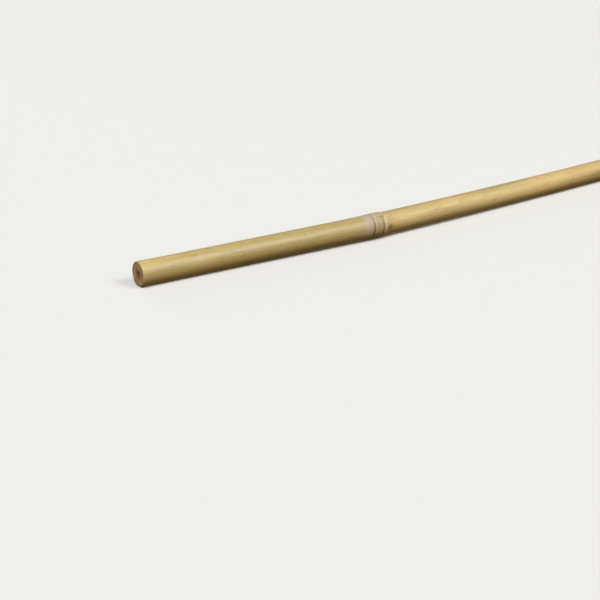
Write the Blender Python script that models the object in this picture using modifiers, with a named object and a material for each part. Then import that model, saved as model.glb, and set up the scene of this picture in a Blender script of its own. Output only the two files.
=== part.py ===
"""Bamboo tree stake: one dried cane, sawn across at both ends and trimmed of its branches.

The cane lies level. +X runs up the stem, from the butt to the tip, and +Z is up. It rests on the lower rims of
its two cuts and on the flat underside of its second node. The origin is on the ground, under the
middle of the cane. Everything is in metres.
"""

import math

import bpy
from mathutils import Euler, Matrix, Vector

MM = 0.001

# Driving dimensions: the stem is almost a true cylinder between nodes, and gets thinner at each node
LENGTH = 900 * MM
NODES = (131 * MM, 341 * MM, 557 * MM, 768 * MM)
DIAMETERS = (11.8 * MM, 11.5 * MM, 11.0 * MM, 10.4 * MM, 9.8 * MM)
SIDES = 32

# A stem swells a little on its way up to each node, and the butt was sawn where it starts to flare
SWELL_SHARE = 0.022
SWELL_REACH = 22 * MM
FLARE = 0.18 * MM
FLARE_REACH = 7 * MM

# Relief of a node, as (distance up the stem from the sheath scar, rise over the stem), both in mm
BELOW_NODE = ((-14.0, 0.0), (-8.0, 0.04), (-4.0, 0.10), (-1.4, 0.18), (-0.4, 0.22), (0.1, 0.16), (0.6, 0.03))
ROOT_BAND = (1.4 * MM, 4.8 * MM)
ROOT_BAND_RISE = 0.27 * MM
ABOVE_NODE = ((5.5, 0.18), (6.1, 0.05), (6.9, 0.26), (7.9, 0.34), (9.5, 0.22), (12.4, 0.06), (16.0, 0.0))
STEP_LENGTH = 6 * MM
BOLDNESS = (0.95, 1.15, 1.2, 1.25)
INTERNODE_RING_GAP = 34 * MM

# Sawn ends: a narrow hollow runs in from each cut to the wall that closes the stem at the nearest node
LUMEN_RADII = (1.1 * MM, 0.9 * MM)
NODE_WALL = 4 * MM
SAWN_EDGE = 0.15 * MM
# The saw ran a little off square: how far each cut leans up the stem for each metre across it, in Y and Z
SAW_SLANTS = ((0.01, 0.02), (0.03, -0.02))
SLANT_REACH = 5 * MM

# Seen from above, the cane turns at each node and bows slowly between them, as it grew
FIRST_HEADING = -0.098
CROOKS = (0.080, 0.014, -0.014, 0.018)
CROOK_REACH = 7 * MM
BOWS_PER_METRE = (-0.05, 0.25, 0.06, 0.07, 0.04)
# Clearance of the underside from the ground at the butt, the nodes and the tip; three of them carry the cane
CLEARANCE = (0.0, 0.5 * MM, 0.0, 1.2 * MM, 1.0 * MM, 0.0)

# Trimmed branches stand on opposite sides in turn. Each angle is from straight up towards -Y
BRANCH_ANGLES = (math.radians(22), math.radians(236), math.radians(68), math.radians(240))
# Base radius and height of what is left of each; the first node has only a bud
STUBS = ((1.6 * MM, 0.4 * MM), (1.9 * MM, 1.0 * MM), (2.2 * MM, 1.5 * MM), (2.1 * MM, 1.3 * MM))
STUB_UP_STEM = 3.6 * MM
STUB_SINK = 2.5 * MM
STUB_TOP_SHARE = 0.8
STUB_STRETCH = 1.35
STUB_LEAN = math.radians(24)
STUB_SIDES = 16

# A shallow groove runs up the stem above each branch
GROOVE_DEPTHS = (0.08 * MM, 0.22 * MM, 0.30 * MM, 0.28 * MM)
GROOVE_HALF_ANGLE = math.radians(24)
GROOVE_START = 8 * MM
GROOVE_FULL = 16 * MM
GROOVE_END = 110 * MM

STRAW = (0.58, 0.45, 0.22, 1.0)
RIND_ROUGHNESS = 0.42


def clear_scene():
    """Remove whatever the file opened with."""
    for thing in list(bpy.data.objects):
        bpy.data.objects.remove(thing)


def smooth_step(value):
    """0 to 1 with level ends, for a value that runs from 0 to 1."""
    value = min(1.0, max(0.0, value))
    return value * value * (3 - 2 * value)


def interpolate(at, points):
    """The value at one place of a broken line through (place, value) points."""
    for (start, low), (end, high) in zip(points, points[1:]):
        if at <= end:
            return low + (high - low) * max(0.0, at - start) / (end - start)
    return points[-1][1]


def stem_radius(at, internode):
    """Radius of the plain stem of one internode, without its nodes."""
    radius = DIAMETERS[internode] / 2
    if internode < len(NODES):
        radius *= 1 + SWELL_SHARE * math.exp(-abs(NODES[internode] - at) / SWELL_REACH)
    if internode == 0:
        radius += FLARE * math.exp(-at / FLARE_REACH)
    return radius


def band_radius(index):
    """Radius of the root band, the fattest place of a node."""
    return stem_radius(NODES[index], index) + ROOT_BAND_RISE * BOLDNESS[index]


def node_profile(index):
    """(place, radius) points of one node: lip of the sheath scar, groove, root band, groove and upper ridge."""
    scar = NODES[index]
    points = []
    for offset, rise in BELOW_NODE:
        points.append((scar + offset * MM, stem_radius(scar + offset * MM, index) + rise * MM * BOLDNESS[index]))
    for offset in ROOT_BAND:
        points.append((scar + offset, band_radius(index)))
    lower = stem_radius(scar, index)
    for offset, rise in ABOVE_NODE:
        at = scar + offset * MM
        blend = min(1.0, offset * MM / STEP_LENGTH)
        stem = lower + (stem_radius(at, index + 1) - lower) * blend
        points.append((at, stem + rise * MM * BOLDNESS[index]))
    return points


def plain_stretch(start, end, internode):
    """(place, radius) points between two nodes, without the ends, evenly spaced."""
    steps = max(2, round((end - start) / INTERNODE_RING_GAP))
    places = [start + (end - start) * step / steps for step in range(1, steps)]
    return [(at, stem_radius(at, internode)) for at in places]


def cane_profile():
    """The turned outline, from the bottom of the butt's hollow, over the skin, to the bottom of the tip's."""
    butt_rim = stem_radius(0, 0)
    tip_rim = stem_radius(LENGTH, len(NODES))
    butt_lumen, tip_lumen = LUMEN_RADII
    butt_wall = NODES[0] - NODE_WALL
    tip_wall = NODES[-1] + NODE_WALL
    points = [(butt_wall, 0.0), (butt_wall, butt_lumen), (0.0, butt_lumen), (0.0, butt_rim - SAWN_EDGE)]
    points.append((SAWN_EDGE, butt_rim))
    points.append((FLARE_REACH, stem_radius(FLARE_REACH, 0)))
    for index in range(len(NODES)):
        node = node_profile(index)
        points += plain_stretch(points[-1][0], node[0][0], index)
        points += node
    points += plain_stretch(points[-1][0], LENGTH, len(NODES))
    points.append((LENGTH - SAWN_EDGE, tip_rim))
    points += [(LENGTH, tip_rim - SAWN_EDGE), (LENGTH, tip_lumen), (tip_wall, tip_lumen), (tip_wall, 0.0)]
    return points


def crook_travel(past):
    """How far a turn of one radian has carried the stem sideways: the turn is spread over a few millimetres."""
    if past >= CROOK_REACH:
        return past
    return max(0.0, past + CROOK_REACH) ** 2 / (4 * CROOK_REACH)


def bow_travel(past, length):
    """How far a bow of one radian per metre has carried the stem sideways, past the start of a stretch."""
    within = min(max(0.0, past), length)
    return within * within / 2 + length * max(0.0, past - length)


def side_sway(at):
    """Sideways place of the centre line, from the headings, the crooks at the nodes and the bows between them."""
    place = FIRST_HEADING * at
    for node, turn in zip(NODES, CROOKS):
        place += turn * crook_travel(at - node)
    starts = (0.0, *NODES)
    ends = (*NODES, LENGTH)
    for start, end, bow in zip(starts, ends, BOWS_PER_METRE):
        place += bow * bow_travel(at - start, end - start)
    return place


def side_slope(at):
    """How steeply the centre line runs sideways at one place."""
    return (side_sway(at + MM / 2) - side_sway(at - MM / 2)) / MM


def saw_lean(at, outwards):
    """How far up the stem a point beside a slanting saw cut is carried."""
    lean = 0.0
    for (across, upwards), past in zip(SAW_SLANTS, (at, LENGTH - at)):
        lean += (across * outwards.y + upwards * outwards.z) * max(0.0, 1 - past / SLANT_REACH)
    return lean


def height_points():
    """(place, height of the centre line), level along each root band so that its underside lies flat."""
    flat = math.cos(math.pi / SIDES)
    points = [(SAWN_EDGE, stem_radius(0, 0) * flat + CLEARANCE[0])]
    for index, scar in enumerate(NODES):
        height = band_radius(index) * flat + CLEARANCE[index + 1]
        points += [(scar + offset, height) for offset in ROOT_BAND]
    points.append((LENGTH, stem_radius(LENGTH, len(NODES)) * flat + CLEARANCE[-1]))
    return points


def branch_direction(index):
    """Unit vector from the centre line towards a node's branch side."""
    angle = BRANCH_ANGLES[index]
    return Vector((0.0, -math.sin(angle), math.cos(angle)))


def groove_depth(at, direction):
    """Depth of the branch grooves at one place along the stem and one direction from its centre line."""
    depth = 0.0
    for index, scar in enumerate(NODES):
        past = at - scar
        start = smooth_step((past - GROOVE_START) / (GROOVE_FULL - GROOVE_START))
        fade = 1 - smooth_step((past - GROOVE_FULL) / (GROOVE_END - GROOVE_FULL))
        if start * fade > 0:
            away = direction.angle(branch_direction(index)) / GROOVE_HALF_ANGLE
            depth += GROOVE_DEPTHS[index] * start * fade * math.exp(-away * away)
    return depth


def grown_place(at, outwards, heights):
    """Place of a point on the cane: its section stays square to the line that the cane takes to the side."""
    centre = Vector((at, side_sway(at), interpolate(at, heights)))
    return centre + outwards + Vector((saw_lean(at, outwards) - side_slope(at) * outwards.y, 0.0, 0.0))


def turned_blank():
    """The straight cane as a profile turned about X, with a side of the section facing straight down."""
    half_side = Matrix.Rotation(math.pi / SIDES, 4, "X")
    profile = [half_side @ Vector((at, 0.0, radius)) for at, radius in cane_profile()]
    mesh = bpy.data.meshes.new("cane_profile")
    mesh.from_pydata(profile, [(i, i + 1) for i in range(len(profile) - 1)], [])
    blank = bpy.data.objects.new("cane_blank", mesh)
    bpy.context.scene.collection.objects.link(blank)
    screw = blank.modifiers.new("Turn", "SCREW")
    screw.axis = "X"
    screw.angle = 2 * math.pi
    screw.steps = screw.render_steps = SIDES
    screw.use_merge_vertices = True
    screw.merge_threshold = 0.00001
    screw.use_normal_calculate = True
    bpy.context.view_layer.update()
    turned = bpy.data.meshes.new_from_object(blank.evaluated_get(bpy.context.evaluated_depsgraph_get()))
    bpy.data.objects.remove(blank)
    return turned


def grow(mesh):
    """Bend the straight blank to the cane's own line, and press the branch grooves into its skin."""
    heights = height_points()
    skin = min(DIAMETERS) / 3
    for vertex in mesh.vertices:
        at = vertex.co.x
        outwards = Vector((0.0, vertex.co.y, vertex.co.z))
        if outwards.length > skin:
            outwards -= outwards.normalized() * groove_depth(at, outwards)
        vertex.co = grown_place(at, outwards, heights)


def branch_stub(index, collection):
    """What is left of a trimmed branch: a short oval peg that leans up the stem, cut off level."""
    radius, height = STUBS[index]
    at = NODES[index] + STUB_UP_STEM
    outwards = branch_direction(index)
    foot = stem_radius(at, index + 1) - STUB_SINK
    depth = height + STUB_SINK + STUB_STRETCH * radius * math.tan(STUB_LEAN) / 2
    bpy.ops.mesh.primitive_cone_add(
        vertices=STUB_SIDES, radius1=radius, radius2=radius * STUB_TOP_SHARE, depth=depth
    )
    stub = bpy.context.object
    stub.name = f"branch_stub_{index + 1}"
    upright = outwards.to_track_quat("Z", "X").to_matrix().to_4x4()
    along = upright.inverted() @ Vector((1.0, 0.0, 0.0))
    lean = Matrix.Rotation(STUB_LEAN, 4, Vector((0.0, 0.0, 1.0)).cross(along))
    stretch = Matrix.Scale(STUB_STRETCH, 4, along)
    raise_up = Matrix.Translation((0.0, 0.0, depth / 2))
    seat = Matrix.Translation(grown_place(at, outwards * foot, height_points()))
    stub.data.transform(seat @ upright @ lean @ stretch @ raise_up)
    stub.hide_render = True
    stub.display_type = "WIRE"
    for holder in list(stub.users_collection):
        holder.objects.unlink(stub)
    collection.objects.link(stub)
    return stub


def fuse(body, collection):
    """Join everything in a collection to the body, and remove the separate pieces."""
    union = body.modifiers.new("Branches", "BOOLEAN")
    union.operation = "UNION"
    union.operand_type = "COLLECTION"
    union.collection = collection
    union.solver = "EXACT"
    bpy.context.view_layer.objects.active = body
    bpy.ops.object.modifier_apply(modifier=union.name)
    for piece in list(collection.objects):
        bpy.data.objects.remove(piece)
    bpy.data.collections.remove(collection)


def centre_on_origin(mesh):
    """Shift the mesh so that the origin is under the middle of its box, on the ground."""
    low = [min(vertex.co[axis] for vertex in mesh.vertices) for axis in range(3)]
    high = [max(vertex.co[axis] for vertex in mesh.vertices) for axis in range(3)]
    mesh.transform(Matrix.Translation((-(low[0] + high[0]) / 2, -(low[1] + high[1]) / 2, -low[2])))


def dried_bamboo():
    """Straw-coloured rind with the dull gloss of a dried cane."""
    material = bpy.data.materials.new("dried_bamboo")
    material.use_nodes = True
    shader = material.node_tree.nodes["Principled BSDF"]
    shader.inputs["Base Color"].default_value = STRAW
    shader.inputs["Roughness"].default_value = RIND_ROUGHNESS
    shader.inputs["Metallic"].default_value = 0.0
    return material


def build_cane():
    parts = bpy.data.collections.new("bamboo_tree_stake")
    bpy.context.scene.collection.children.link(parts)
    mesh = turned_blank()
    grow(mesh)
    cane = bpy.data.objects.new("cane", mesh)
    parts.objects.link(cane)
    branches = bpy.data.collections.new("trimmed_branches")
    bpy.context.scene.collection.children.link(branches)
    for index in range(len(NODES)):
        branch_stub(index, branches)
    fuse(cane, branches)
    centre_on_origin(cane.data)
    cane.data.materials.clear()
    cane.data.materials.append(dried_bamboo())
    cane.data.shade_smooth()
    cane.data.set_sharp_from_angle(angle=math.radians(35))
    return cane


def main():
    clear_scene()
    build_cane()


main()
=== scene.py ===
"""Bamboo tree stake: one dried cane, finished in detail over its solid frame, on a pale floor.

Every piece is first shaped on a straight stem along X, butt at zero, in metres. grow() then carries each of
its points to the cane's own crooked line, which is the line of the solid frame.
"""

import math
import random

import bmesh
import bpy
from bpy.props import (
    FloatProperty,
    FloatVectorProperty,
    IntProperty,
    PointerProperty,
)
from mathutils import Matrix, Vector, noise


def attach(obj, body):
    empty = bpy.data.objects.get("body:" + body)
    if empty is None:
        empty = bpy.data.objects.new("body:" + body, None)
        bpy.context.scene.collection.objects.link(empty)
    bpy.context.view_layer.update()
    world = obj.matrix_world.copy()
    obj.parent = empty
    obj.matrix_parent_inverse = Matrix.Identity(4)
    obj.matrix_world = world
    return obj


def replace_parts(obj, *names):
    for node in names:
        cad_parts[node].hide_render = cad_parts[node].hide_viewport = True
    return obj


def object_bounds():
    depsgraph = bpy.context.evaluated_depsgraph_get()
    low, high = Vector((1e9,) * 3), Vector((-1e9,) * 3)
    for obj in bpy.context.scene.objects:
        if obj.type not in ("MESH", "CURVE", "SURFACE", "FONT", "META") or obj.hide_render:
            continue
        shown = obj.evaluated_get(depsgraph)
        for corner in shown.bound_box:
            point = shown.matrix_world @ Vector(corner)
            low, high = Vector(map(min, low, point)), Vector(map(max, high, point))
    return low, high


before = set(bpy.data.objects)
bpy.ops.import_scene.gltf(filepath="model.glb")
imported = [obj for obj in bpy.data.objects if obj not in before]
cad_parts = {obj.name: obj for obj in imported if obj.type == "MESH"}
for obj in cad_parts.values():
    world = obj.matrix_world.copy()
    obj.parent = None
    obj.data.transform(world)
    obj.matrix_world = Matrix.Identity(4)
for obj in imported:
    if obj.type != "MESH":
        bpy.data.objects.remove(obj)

bl_info = {
    "name": "Bamboo Tree Stake",
    "version": (1, 0, 0),
    "blender": (4, 5, 0),
    "location": "3D View > Sidebar > Stake",
    "description": "Builds one dried bamboo cane with its nodes, saw cuts and trimmed branches",
    "category": "Object",
}

MM = 0.001
BODY = "root"
CANE_NODE = "cane"
CAD_LOW, CAD_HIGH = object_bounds()
UP_STEM = Vector((1.0, 0.0, 0.0))

# The stem swells a little on its way up to each node, and the butt was sawn where it starts to flare
SWELL_SHARE = 0.022
SWELL_REACH = 22 * MM
FLARE = 0.18 * MM
FLARE_REACH = 7 * MM
FLARE_RINGS = 4
SAWN_EDGE = 0.15 * MM
# How far each saw cut leans up the stem for each metre across it, in Y and Z
SAW_SLANTS = ((0.01, 0.02), (0.03, -0.02))
SLANT_REACH = 5 * MM
# The sharp edge of each cut has worn round, and its face dips towards the hollow
WORN_EDGE = 0.48 * MM
WORN_ANGLES = [math.radians(angle) for angle in (18, 36, 54, 72, 90)]
CUT_DISH = 0.16 * MM
CUT_DEPTH = 0.3 * MM
# Rings of vertices across a sawn face, from the hollow out, and down the hollow, towards the cut
FACE_SHARES = (0.0, 0.03, 0.08, 0.15, 0.25, 0.37, 0.5, 0.63, 0.75, 0.85, 0.92, 0.97, 1.0)
HOLLOW_SHARES = (0.5, 0.2, 0.08, 0.03, 0.01)
NODE_WALL = 4 * MM

# Relief of a node, as (millimetres up the stem from the sheath scar, millimetres over the stem)
BELOW_SCAR = ((-14.0, 0.0), (-8.0, 0.04), (-4.0, 0.10), (-1.4, 0.18), (-0.4, 0.22), (0.1, 0.16), (0.6, 0.03))
ROOT_BAND = (1.4, 4.8)
ROOT_BAND_RISE = 0.27
ABOVE_BAND = ((5.5, 0.18), (6.1, 0.05), (6.9, 0.26), (7.9, 0.34), (9.5, 0.22), (12.4, 0.06), (16.0, 0.0))
STEP_LENGTH = 6 * MM
BOLDNESS = (0.95, 1.15, 1.2, 1.25)
NODE_START = -14 * MM
NODE_END = 16 * MM
# Rings of vertices lie this far apart in the middle of a node, at its ends, and between nodes
FINE_REACH = (-2.5 * MM, 10.5 * MM)
RING_GAPS = (0.25 * MM, 0.8 * MM, 3.0 * MM)
# Fine marks of a node, in mm: height and half width of the torn lip of its scar, then height and spacing of
# the rings on its root band, which run from one place past the scar to another
LIP_SIZE = (0.15, 0.26)
BAND_RING_SIZE = (0.030, 0.95)
BAND_RING_REACH = (1.2, 5.1)
BAND_RING_FADE = 0.5
# Lengths of the slow waves in the skin, and of those along its fibres
WAVE_LENGTH = 38 * MM
FIBRE_WAVE_LENGTH = 70 * MM

# Seen from above, the cane turns at each node and bows slowly between them, as it grew
FIRST_HEADING = -0.098
CROOKS = (0.080, 0.014, -0.014, 0.018)
CROOK_REACH = 7 * MM
BOWS_PER_METRE = (-0.05, 0.25, 0.06, 0.07, 0.04)
CLEARANCE = (0.0, 0.5 * MM, 0.0, 1.2 * MM, 1.0 * MM, 0.0)
# The undersides of the solid's nodes are the flats of a section with this many sides
SOLID_SIDES = 32

# Trimmed branches: angle from straight up towards -Y, then base radius and height
BRANCH_ANGLES = (math.radians(22), math.radians(236), math.radians(68), math.radians(240))
STUBS = ((1.6 * MM, 0.4 * MM), (1.9 * MM, 1.0 * MM), (2.2 * MM, 1.5 * MM), (2.1 * MM, 1.3 * MM))
STUB_UP_STEM = 3.6 * MM
STUB_SINK = 2.5 * MM
STUB_TOP_SHARE = 0.8
STUB_STRETCH = 1.35
STUB_LEAN = math.radians(24)
STUB_SEGMENTS = 56
STUB_RINGS = 24
# The sawn top of a stub is inset in these shares of its radius, down to a sunk spot of pith
TOP_INSETS = (0.10, 0.10, 0.16, 0.16, 0.14)
PITH_SHARE = 0.36
PITH_RIM = 0.06 * MM
PITH_DEPTH = 0.22 * MM
STUB_EDGE = 0.06 * MM
# Shares by which a stub is rough and fluted round its side, and how uneven its sawn top is
STUB_ROUGHNESS = 0.035
STUB_FLUTES = 0.02
TOP_ROUGHNESS = 0.05 * MM
# The stub's foot swells by this share where it leaves the skin, and the skin rises round it
FOOT_SWELL = 0.20
FOOT_REACH = 0.45 * MM
COLLAR_REACH = 4.2 * MM
COLLAR_ANGLE = math.radians(34)
COLLAR_SHARE = 0.35
# The sheath scar bends up the stem beside the branch, and a shallow groove runs on above it
SCAR_BEND = 0.9 * MM
SCAR_BEND_ANGLE = math.radians(32)
GROOVE_DEPTHS = (0.08 * MM, 0.22 * MM, 0.30 * MM, 0.28 * MM)
GROOVE_HALF_ANGLE = math.radians(24)
GROOVE_START = 8 * MM
GROOVE_FULL = 16 * MM
GROOVE_END = 110 * MM
# Half length, half width and height of the first node's bud, its place, and how far over the band it lies
BUD_SIZE = (3.2 * MM, 1.6 * MM, 0.42 * MM)
BUD_UP_STEM = STUB_UP_STEM + 2.6 * MM
BUD_LIFT = 0.04 * MM
# Each scale of the bud ends at this share of its half length, and is cut back this much at its sides
BUD_SCALES = ((0.52, 0.9), (-0.18, 0.7))
BUD_SCALE_FADE = 0.10
# Small stains: how far past the sheath scar, angle from straight up towards -Y, and reach
STAINS = (
    (10.2 * MM, math.radians(98), 1.6 * MM),
    (13.0 * MM, math.radians(160), 1.9 * MM),
    (9.5 * MM, math.radians(-40), 1.6 * MM),
    (11.5 * MM, math.radians(110), 1.4 * MM),
)

# Torn fibres: ranges of length and width, in mm. One in four of those along a scar is a wider flake
SCAR_FIBRE_LENGTHS = (0.3, 1.0)
SCAR_FIBRE_WIDTHS = (0.06, 0.14)
FLAKE_WIDTHS = (0.25, 0.5)
FLAKE_CHANCE = 0.25
BESIDE_BRANCH_STRETCH = 1.4
SAW_FIBRE_LENGTHS = (0.2, 0.65)
SAW_FIBRE_WIDTHS = (0.05, 0.12)
# The saw tore its fibres round this side of the cut, where it left the cane
SAW_EXIT_ANGLE = math.radians(215)
FIBRE_THICKNESS = 0.05 * MM

# Materials of the culm and the stubs. Faces have the rind unless they are given one of the other two
STEM_MATERIALS = ("dried_bamboo_rind", "sawn_bamboo", "pith_lining")
SAWN = STEM_MATERIALS.index("sawn_bamboo")
LINING = STEM_MATERIALS.index("pith_lining")

# Soft studio lights: name, apparent width, and the direction that each shines from
LIGHTS = (
    ("key", math.radians(29), (-1.68, -1.40, 3.25)),
    ("fill", math.radians(24), (0.95, -1.75, 1.9)),
    ("back", math.radians(35), (0.3, 2.0, 0.7)),
)


def linear(hex_code):
    """Linear red, green, blue and alpha of an sRGB hex colour."""
    channels = [int(hex_code[i : i + 2], 16) / 255 for i in (0, 2, 4)]
    return tuple(c / 12.92 if c <= 0.04045 else ((c + 0.055) / 1.055) ** 2.4 for c in channels) + (1.0,)


def smooth_step(value):
    """0 to 1 with level ends, for a value that runs from 0 to 1."""
    value = min(1.0, max(0.0, value))
    return value * value * (3 - 2 * value)


class StakeStem(bpy.types.PropertyGroup):
    """Sizes of the culm itself."""

    length: FloatProperty(
        name="Length", description="From saw cut to saw cut", default=900 * MM, min=0.1, unit="LENGTH"
    )
    nodes: FloatVectorProperty(
        name="Nodes",
        description="How far each sheath scar is from the butt",
        size=4,
        default=(131 * MM, 341 * MM, 557 * MM, 768 * MM),
        unit="LENGTH",
    )
    diameters: FloatVectorProperty(
        name="Diameters",
        description="Thickness of the stem below, between and above the nodes",
        size=5,
        default=(11.8 * MM, 11.5 * MM, 11.0 * MM, 10.4 * MM, 9.8 * MM),
        unit="LENGTH",
    )
    hollow_radii: FloatVectorProperty(
        name="Hollows",
        description="Radius of the pith hollow that each saw cut opened, at the butt and the tip",
        size=2,
        default=(1.1 * MM, 0.9 * MM),
        unit="LENGTH",
    )
    segments: IntProperty(name="Segments", description="Faces round the stem", default=96, min=16, max=128)
    unevenness: FloatProperty(
        name="Unevenness",
        description="How far the skin wanders from a true round",
        default=0.05 * MM,
        min=0,
        unit="LENGTH",
    )


class StakeRind(bpy.types.PropertyGroup):
    """Colours of the dried skin."""

    straw: FloatVectorProperty(
        name="Straw", description="Main colour of the skin", subtype="COLOR", size=4, default=linear("ccb478")
    )
    olive: FloatVectorProperty(
        name="Olive", description="Skin that dried greener", subtype="COLOR", size=4, default=linear("b7a56a")
    )
    golden: FloatVectorProperty(
        name="Golden", description="Skin that ripened most", subtype="COLOR", size=4, default=linear("d9bb7c")
    )
    bloom: FloatVectorProperty(
        name="Bloom", description="Wax under each node", subtype="COLOR", size=4, default=linear("b5a28a")
    )
    # Colour of the scar lines, which also carry painted shade in the grooves of each node
    scar: FloatVectorProperty(
        name="Scar", description="Lines the sheath left", subtype="COLOR", size=4, default=linear("4a3319")
    )
    roughness: FloatProperty(
        name="Roughness", description="Roughness of clean skin", default=0.5, min=0, max=1, subtype="FACTOR"
    )


class StakeCut(bpy.types.PropertyGroup):
    """Colours and fibres of the saw cuts."""

    wood: FloatVectorProperty(
        name="Cut wood", description="The sawn wall", subtype="COLOR", size=4, default=linear("c8aa80")
    )
    pith: FloatVectorProperty(
        name="Pith", description="Colour round the hollow", subtype="COLOR", size=4, default=linear("a58446")
    )
    skin_edge: FloatVectorProperty(
        name="Skin edge", description="The sawn hard skin", subtype="COLOR", size=4, default=linear("4a3722")
    )
    fibres: IntProperty(name="Fibres", description="Torn fibres round each saw cut", default=18, min=0)
    scar_fibres: IntProperty(
        name="Scar fibres", description="Torn fibres along each sheath scar", default=60, min=0
    )
    seed: IntProperty(name="Seed", description="Start of the random draws for the fibres", default=7)


class StakeStage(bpy.types.PropertyGroup):
    """Floor, lights and camera."""

    floor_colour: FloatVectorProperty(
        name="Floor", description="Colour of the floor", subtype="COLOR", size=4, default=linear("dedddb")
    )
    floor_width: FloatProperty(
        name="Floor width", description="Side of the square floor", default=60.0, unit="LENGTH"
    )
    key: FloatProperty(name="Key light", description="Strength of the main light", default=2.8, min=0)
    fill: FloatProperty(name="Fill light", description="Strength of the softer light", default=1.15, min=0)
    back: FloatProperty(name="Back light", description="Strength of the light behind", default=0.4, min=0)
    sky: FloatProperty(name="Sky", description="Strength of the light all round", default=0.17, min=0)
    sky_colour: FloatVectorProperty(
        name="Sky tint", description="Light from above", subtype="COLOR", size=4, default=linear("fff8ea")
    )
    bounce_colour: FloatVectorProperty(
        name="Bounce tint", description="Light from below", subtype="COLOR", size=4, default=linear("ffd68a")
    )
    camera_place: FloatVectorProperty(
        name="Camera place",
        description="Where the camera stands",
        default=(-0.754313, -0.502859, 0.21204),
        subtype="TRANSLATION",
    )
    camera_azimuth: FloatProperty(
        name="Azimuth",
        description="Turn of the camera from looking along +Y",
        default=math.radians(-38.657),
        subtype="ANGLE",
    )
    camera_elevation: FloatProperty(
        name="Elevation",
        description="How far the camera looks down",
        default=math.radians(20.614),
        subtype="ANGLE",
    )
    lens: FloatProperty(name="Lens", description="Focal length on a 36 mm sensor, in mm", default=79.55)


def stem_radius(stem, at, internode):
    """Radius of the plain stem of one internode, without its nodes."""
    radius = stem.diameters[internode] / 2
    if internode < len(stem.nodes):
        radius *= 1 + SWELL_SHARE * math.exp(-abs(stem.nodes[internode] - at) / SWELL_REACH)
    if internode == 0:
        radius += FLARE * math.exp(-at / FLARE_REACH)
    return radius


def eased_between(at, points):
    """Value of a curve through (place, value) points that is level at each of them."""
    if at <= points[0][0]:
        return points[0][1]
    for (start, low), (end, high) in zip(points, points[1:]):
        if at <= end:
            return low + (high - low) * smooth_step((at - start) / (end - start))
    return points[-1][1]


def straight_between(at, points):
    """Value of a broken line through (place, value) points."""
    for (start, low), (end, high) in zip(points, points[1:]):
        if at <= end:
            return low + (high - low) * max(0.0, at - start) / (end - start)
    return points[-1][1]


def node_radius(stem, index, past):
    """Radius of the stem at a node, this far past its sheath scar."""
    at = stem.nodes[index] + past
    band = [(place, ROOT_BAND_RISE) for place in ROOT_BAND]
    rise = eased_between(past / MM, (*BELOW_SCAR, *band, *ABOVE_BAND)) * MM * BOLDNESS[index]
    if past <= 0:
        return stem_radius(stem, at, index) + rise
    lower = stem_radius(stem, stem.nodes[index], index)
    upper = stem_radius(stem, at, index + 1)
    past_band = max(0.0, past / MM - ROOT_BAND[1]) * MM
    return lower + (upper - lower) * smooth_step(past_band / STEP_LENGTH) + rise


def nearest_node(stem, at):
    return min(range(len(stem.nodes)), key=lambda index: abs(at - stem.nodes[index]))


def skin_radius(stem, at):
    """Radius of the skin anywhere along the stem, nodes included."""
    index = nearest_node(stem, at)
    past = at - stem.nodes[index]
    if NODE_START <= past <= NODE_END:
        return node_radius(stem, index, past)
    return stem_radius(stem, at, sum(at > node for node in stem.nodes))


def ring_places(stem):
    """Places of the rings of vertices along the skin, close together over each node."""
    fine, middling, wide = RING_GAPS
    places = [FLARE_REACH * step / FLARE_RINGS for step in range(1, FLARE_RINGS + 1)]
    for node in stem.nodes:
        stops = (
            (node + NODE_START, wide),
            (node + FINE_REACH[0], middling),
            (node + FINE_REACH[1], fine),
            (node + NODE_END, middling),
        )
        for stop, gap in stops:
            start = places[-1]
            steps = math.ceil((stop - start) / gap)
            places += [start + (stop - start) * step / steps for step in range(1, steps + 1)]
    start = places[-1]
    steps = math.ceil((stem.length - SAWN_EDGE - start) / wide)
    places += [start + (stem.length - SAWN_EDGE - start) * step / steps for step in range(1, steps)]
    return places


def crook_travel(past):
    """How far a turn of one radian, spread over a few millimetres, has carried the stem sideways."""
    if past >= CROOK_REACH:
        return past
    return max(0.0, past + CROOK_REACH) ** 2 / (4 * CROOK_REACH)


def bow_travel(past, length):
    """How far a bow of one radian per metre has carried the stem sideways, past its start."""
    within = min(max(0.0, past), length)
    return within * within / 2 + length * max(0.0, past - length)


def side_sway(stem, at):
    """Sideways place of the centre line, from its heading, the crooks at its nodes and the bows between."""
    place = FIRST_HEADING * at
    for node, turn in zip(stem.nodes, CROOKS):
        place += turn * crook_travel(at - node)
    for start, end, bow in zip((0.0, *stem.nodes), (*stem.nodes, stem.length), BOWS_PER_METRE):
        place += bow * bow_travel(at - start, end - start)
    return place


def side_slope(stem, at):
    """How steeply the centre line runs sideways at one place."""
    return (side_sway(stem, at + MM / 2) - side_sway(stem, at - MM / 2)) / MM


def height_points(stem):
    """(place, height of the centre line), level along each root band."""
    flat = math.cos(math.pi / SOLID_SIDES)
    points = [(SAWN_EDGE, stem_radius(stem, 0, 0) * flat + CLEARANCE[0])]
    for index, node in enumerate(stem.nodes):
        band = stem_radius(stem, node, index) + ROOT_BAND_RISE * MM * BOLDNESS[index]
        height = band * flat + CLEARANCE[index + 1]
        points += [(node + offset * MM, height) for offset in ROOT_BAND]
    tip = stem_radius(stem, stem.length, len(stem.nodes))
    points.append((stem.length, tip * flat + CLEARANCE[-1]))
    return points


def saw_lean(stem, straight):
    """How far up the stem a point beside a slanting saw cut is carried."""
    lean = 0.0
    for (across, upwards), past in zip(SAW_SLANTS, (straight.x, stem.length - straight.x)):
        lean += (across * straight.y + upwards * straight.z) * max(0.0, 1 - past / SLANT_REACH)
    return lean


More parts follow.
